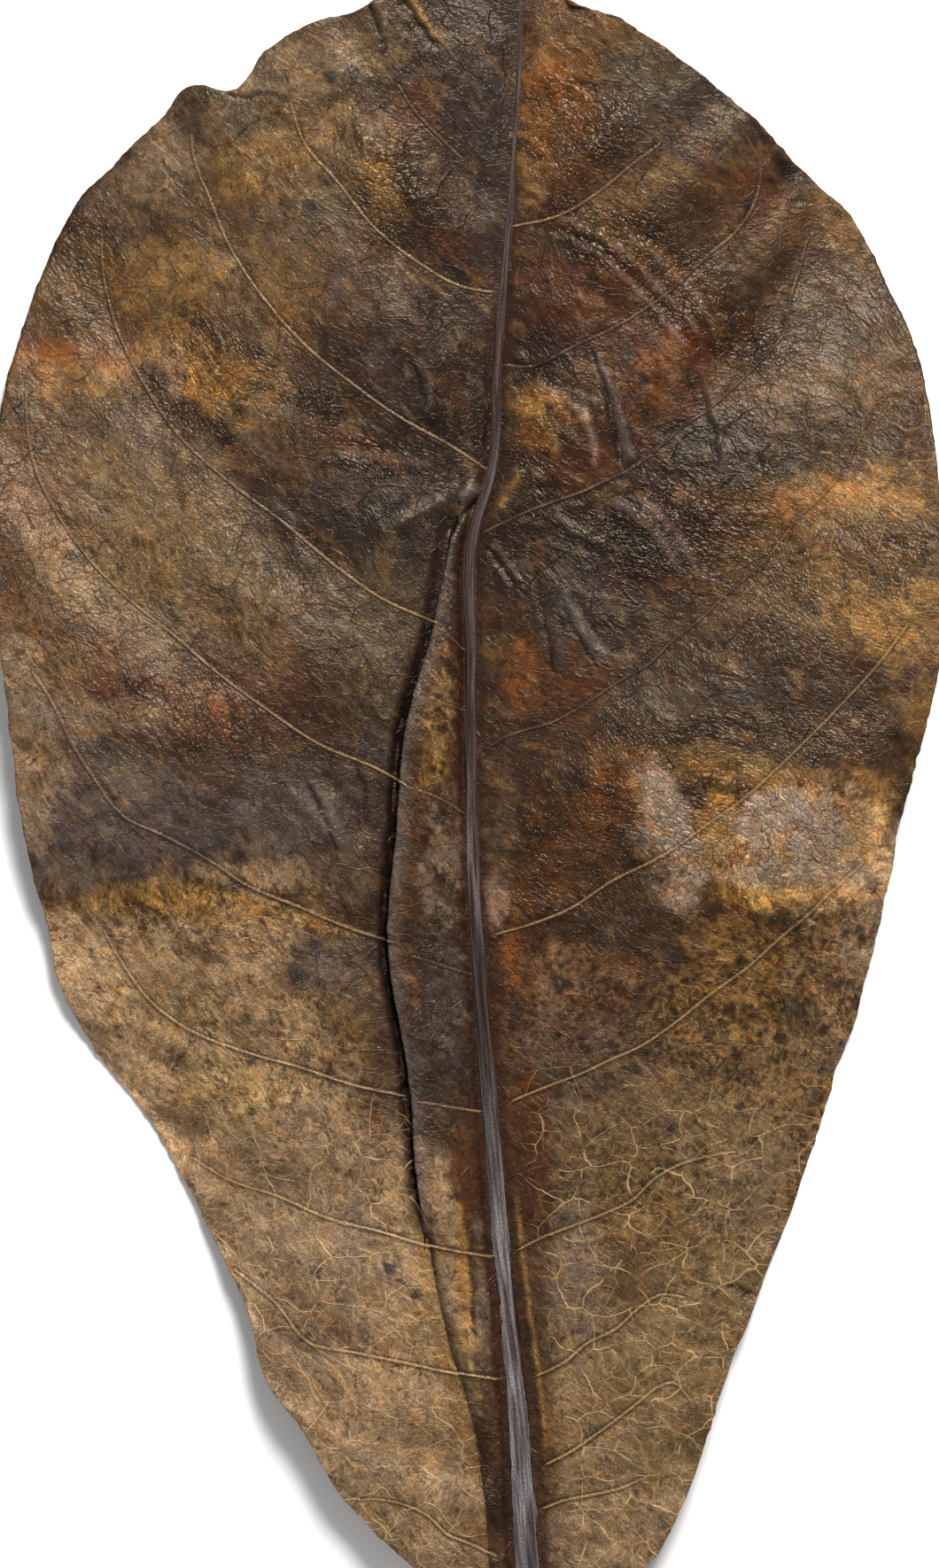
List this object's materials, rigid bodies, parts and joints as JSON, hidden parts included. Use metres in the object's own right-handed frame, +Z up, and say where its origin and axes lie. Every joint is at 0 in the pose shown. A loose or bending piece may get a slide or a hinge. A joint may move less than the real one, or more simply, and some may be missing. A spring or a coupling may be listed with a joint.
{
  "type": "dried indian almond leaf",
  "caption": "Dried Indian almond leaf lying flat: a broad obovate blade with raised veins, a waved margin, a lengthwise pleat beside the midrib and a short stout stalk.",
  "frame": {"origin": "middle of the leaf's bounding box, on the plane that the leaf rests on", "axes": "+Y towards the leaf's tip along the midrib, +X to the right seen from above, +Z up, the leaf's upper side facing +Z"},
  "size_m": [0.1341, 0.2411, 0.0094],
  "materials": {
    "dried_leaf": "dry, leathery, unevenly glossy brown blade with ochre, rust and slate patches"
  },
  "bodies": {
    "root": {"leaf": "dried_leaf"}
  },
  "joints": []
}
